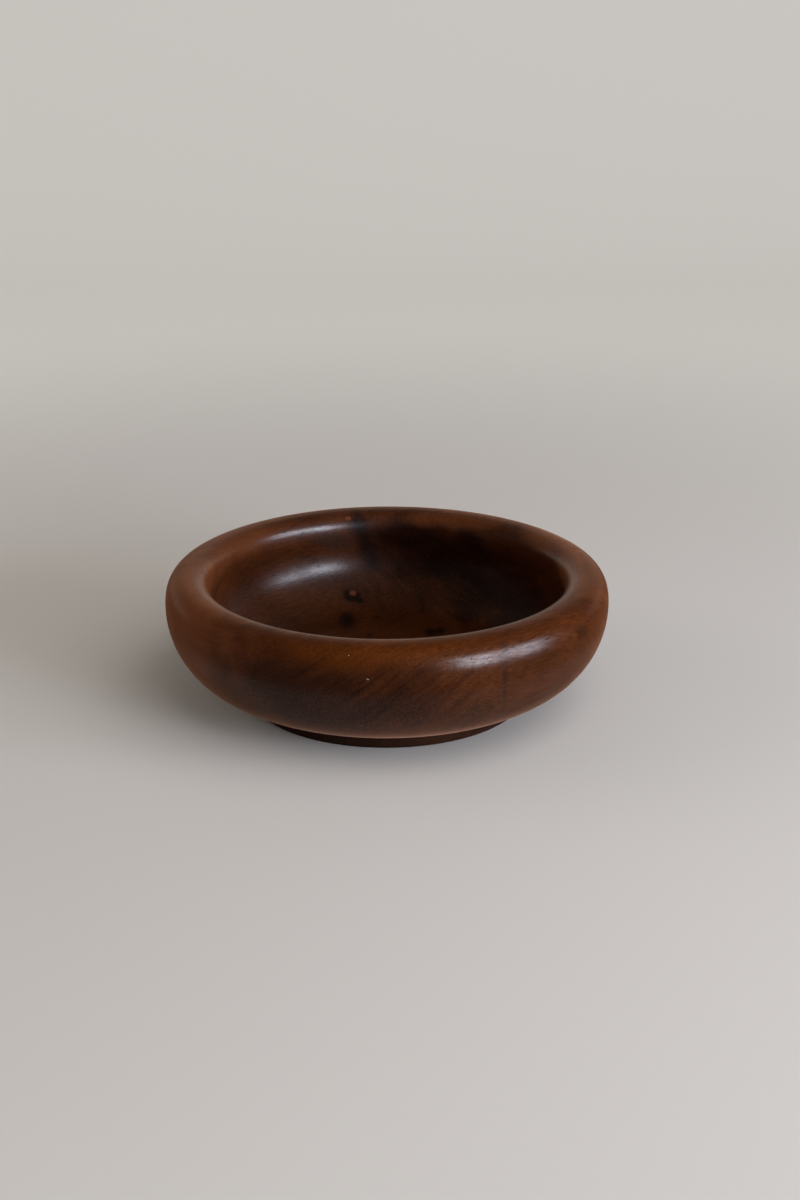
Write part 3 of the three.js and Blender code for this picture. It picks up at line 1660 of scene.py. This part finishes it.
@dataclass
class Studio:
    """A plain pale sweep and soft lights.

    Two low panels stand to the right and a large one above them, with a warm fill from the left
    and a weak one from all round. Polished surfaces see the sweep close to the bowl, a pale band
    behind it, and otherwise a dim backdrop and the low panels.

    Attributes:
        half_width: The sweep's half width.
        front: Where its floor starts.
        bend_start: Where it bends up.
        bend_radius: The radius of the bend.
        wall_height: The height of the wall above it.
        bend_steps: How many steps the bend takes.
        sweep_colour: The colour of its paint.
        sweep_roughness: The paint's roughness.
        sweep_gloss: How strongly the paint reflects.
        backdrop_colour: The colour that the far sweep shows to the camera.
        backdrop_share: How much of that colour it shows.
        backdrop_fades: How far from the bowl it starts and ends to show it.
        backdrop_glow: How bright the world behind the sweep shows to the camera.
        mirrored_colour: The colour that polished surfaces see beyond the near floor.
        mirrored_floor: How far from the bowl the near floor ends for them.
        mirrored_dimming: How much they see the near floor dimmed.
        mirrored_band: How far behind the bowl their pale band starts.
        mirrored_height: The heights where that band ends.
        mirrored_band_glow: How bright that band is.
        mirrored_rest_glow: How bright the rest is.
        fill: The strength of the even fill.
        mirrored_fill: Its strength in polished surfaces.
        fill_colour: Its colour.
        panels: The soft lights.
    """

    half_width: float = 3.0
    front: float = -3.0
    bend_start: float = 1.2
    bend_radius: float = 0.6
    wall_height: float = 3.0
    bend_steps: int = 24
    sweep_colour: Colour = srgb(196, 193, 190)
    sweep_roughness: float = 0.85
    sweep_gloss: float = 0.2
    backdrop_colour: Colour = srgb(205, 202, 196)
    backdrop_share: float = 0.75
    backdrop_fades: tuple[float, float] = (0.25, 1.0)
    backdrop_glow: float = 0.86
    mirrored_colour: Colour = srgb(205, 192, 178)
    mirrored_floor: tuple[float, float] = (0.165, 0.20)
    mirrored_dimming: float = 0.25
    mirrored_band: tuple[float, float] = (0.9, 1.3)
    mirrored_height: tuple[float, float] = (0.5, 0.9)
    mirrored_band_glow: float = 0.85
    mirrored_rest_glow: float = 0.07
    fill: float = 0.19
    mirrored_fill: float = 0.05
    fill_colour: Colour = (1.0, 0.94, 0.86)
    panels: tuple[SoftPanel, ...] = (
        SoftPanel("near_panel", -45.0, 8.5, (0.62, 0.94), 35.5, COOL_LIGHT),
        SoftPanel("far_panel", -20.0, 8.5, (0.68, 0.94), 24.0, COOL_LIGHT),
        SoftPanel("high_panel", -38.0, 48.0, (2.2, 2.2), 26.0, (1.0, 0.97, 0.93), gleams=False),
        SoftPanel("side_fill", 176.0, 22.0, (1.6, 1.2), 10.0, (1.0, 0.86, 0.71), gleams=False),
    )

    def build(self) -> None:
        """Adds the sweep, the lights and the view transform that the look needs."""
        self._add_sweep()
        for panel in self.panels:
            panel.add()
        self._light_world()
        bpy.context.scene.view_settings.view_transform = "Standard"

    def _add_sweep(self) -> None:
        """A floor that bends up into a backdrop."""
        bpy.ops.object.select_all(action="DESELECT")
        depth = self.bend_start - self.front
        middle = (self.front + self.bend_start) / 2
        bpy.ops.mesh.primitive_plane_add(size=1.0, location=(0.0, middle, 0.0))
        sweep = bpy.context.object
        sweep.name = "studio_sweep"
        sweep.scale = (2 * self.half_width, depth, 1.0)
        bpy.ops.object.transform_apply(location=True, rotation=True, scale=True)
        for edge in sweep.data.edges:
            ends = [sweep.data.vertices[index].co.y for index in edge.vertices]
            edge.select = min(ends) > self.bend_start - MM
        for vertex in sweep.data.vertices:
            vertex.select = vertex.co.y > self.bend_start - MM
        for face in sweep.data.polygons:
            face.select = False
        bpy.ops.object.mode_set(mode="EDIT")
        bpy.ops.mesh.select_mode(type="EDGE")
        bpy.ops.mesh.spin(
            steps=self.bend_steps, angle=-QUARTER_TURN, axis=(1, 0, 0),
            center=(0.0, self.bend_start, self.bend_radius),
        )
        bpy.ops.mesh.extrude_region_move(TRANSFORM_OT_translate={"value": (0, 0, self.wall_height)})
        bpy.ops.mesh.select_mode(type="VERT")
        bpy.ops.object.mode_set(mode="OBJECT")
        bpy.ops.object.shade_smooth()
        sweep.data.materials.append(self._sweep_paint())

    def _sweep_paint(self) -> bpy.types.Material:
        """The sweep's matt paint, with what the camera and polished surfaces see of its far parts.

        The camera sees it paler there, without more light on the bowl. Polished surfaces see the
        pale band and the dim backdrop, and through them the low panels and the world.

        Returns:
            The material.
        """
        made = bpy.data.materials.new("pale_sweep")
        graph = Graph(made)
        paint = graph.add("ShaderNodeBsdfPrincipled", sockets={
            "Base Color": self.sweep_colour,
            "Roughness": self.sweep_roughness,
            "Specular IOR Level": self.sweep_gloss,
        })
        glow = graph.add("ShaderNodeEmission", sockets={"Color": self.backdrop_colour})
        place = graph.add("ShaderNodeTexCoord", output="Object")
        away = graph.vector("LENGTH", place)
        seen = graph.rays(Ray.CAMERA, Ray.TRANSMISSION)
        share = graph.step(away, *self.backdrop_fades) * seen * self.backdrop_share
        shown = graph.add("ShaderNodeMixShader", sockets={0: share, 1: paint, 2: glow})
        _, back, up = graph.split(place)
        band = graph.step(back, *self.mirrored_band) * (1.0 - graph.step(up, *self.mirrored_height))
        strength = band * self.mirrored_band_glow + self.mirrored_rest_glow
        mirrored = graph.add(
            "ShaderNodeEmission", sockets={"Color": self.mirrored_colour, "Strength": strength},
        )
        gap = graph.add("ShaderNodeBsdfTransparent")
        beyond = graph.add("ShaderNodeAddShader", sockets={0: mirrored, 1: gap})
        share = graph.step(away, *self.mirrored_floor) * (1.0 - self.mirrored_dimming)
        share = (share + self.mirrored_dimming) * graph.rays(Ray.GLOSSY)
        shown = graph.add("ShaderNodeMixShader", sockets={0: share, 1: shown, 2: beyond})
        graph.add("ShaderNodeOutputMaterial", sockets={"Surface": shown})
        return made

    def _light_world(self) -> None:
        """A weak even fill, weaker in polished surfaces, that shows pale to the camera."""
        world = bpy.data.worlds.new("studio_fill")
        bpy.context.scene.world = world
        graph = Graph(world)
        mirrored = graph.rays(Ray.GLOSSY)
        background = graph.add("ShaderNodeBackground", sockets={
            "Color": self.fill_colour,
            "Strength": mirrored * (self.mirrored_fill - self.fill) + self.fill,
        })
        pale = graph.add("ShaderNodeBackground", sockets={
            "Color": self.backdrop_colour,
            "Strength": self.backdrop_glow,
        })
        seen = graph.rays(Ray.CAMERA, Ray.TRANSMISSION)
        shown = graph.add("ShaderNodeMixShader", sockets={0: seen, 1: background, 2: pale})
        graph.add("ShaderNodeOutputWorld", sockets={"Surface": shown})


def main() -> None:
    """Builds, dresses and stages the bowl."""
    logging.basicConfig(level=logging.INFO, format="%(name)s: %(message)s")
    view = PhotoView()
    view.add_camera()
    lathe = Lathe()
    for part in (Vessel.from_solids(), FootRing.from_solid()):
        part.build(lathe)
        part.dress(view)
        logger.info("%s: %d faces", part.piece.name, len(part.piece.data.polygons))
    Studio().build()


if __name__ == "__main__":
    main()
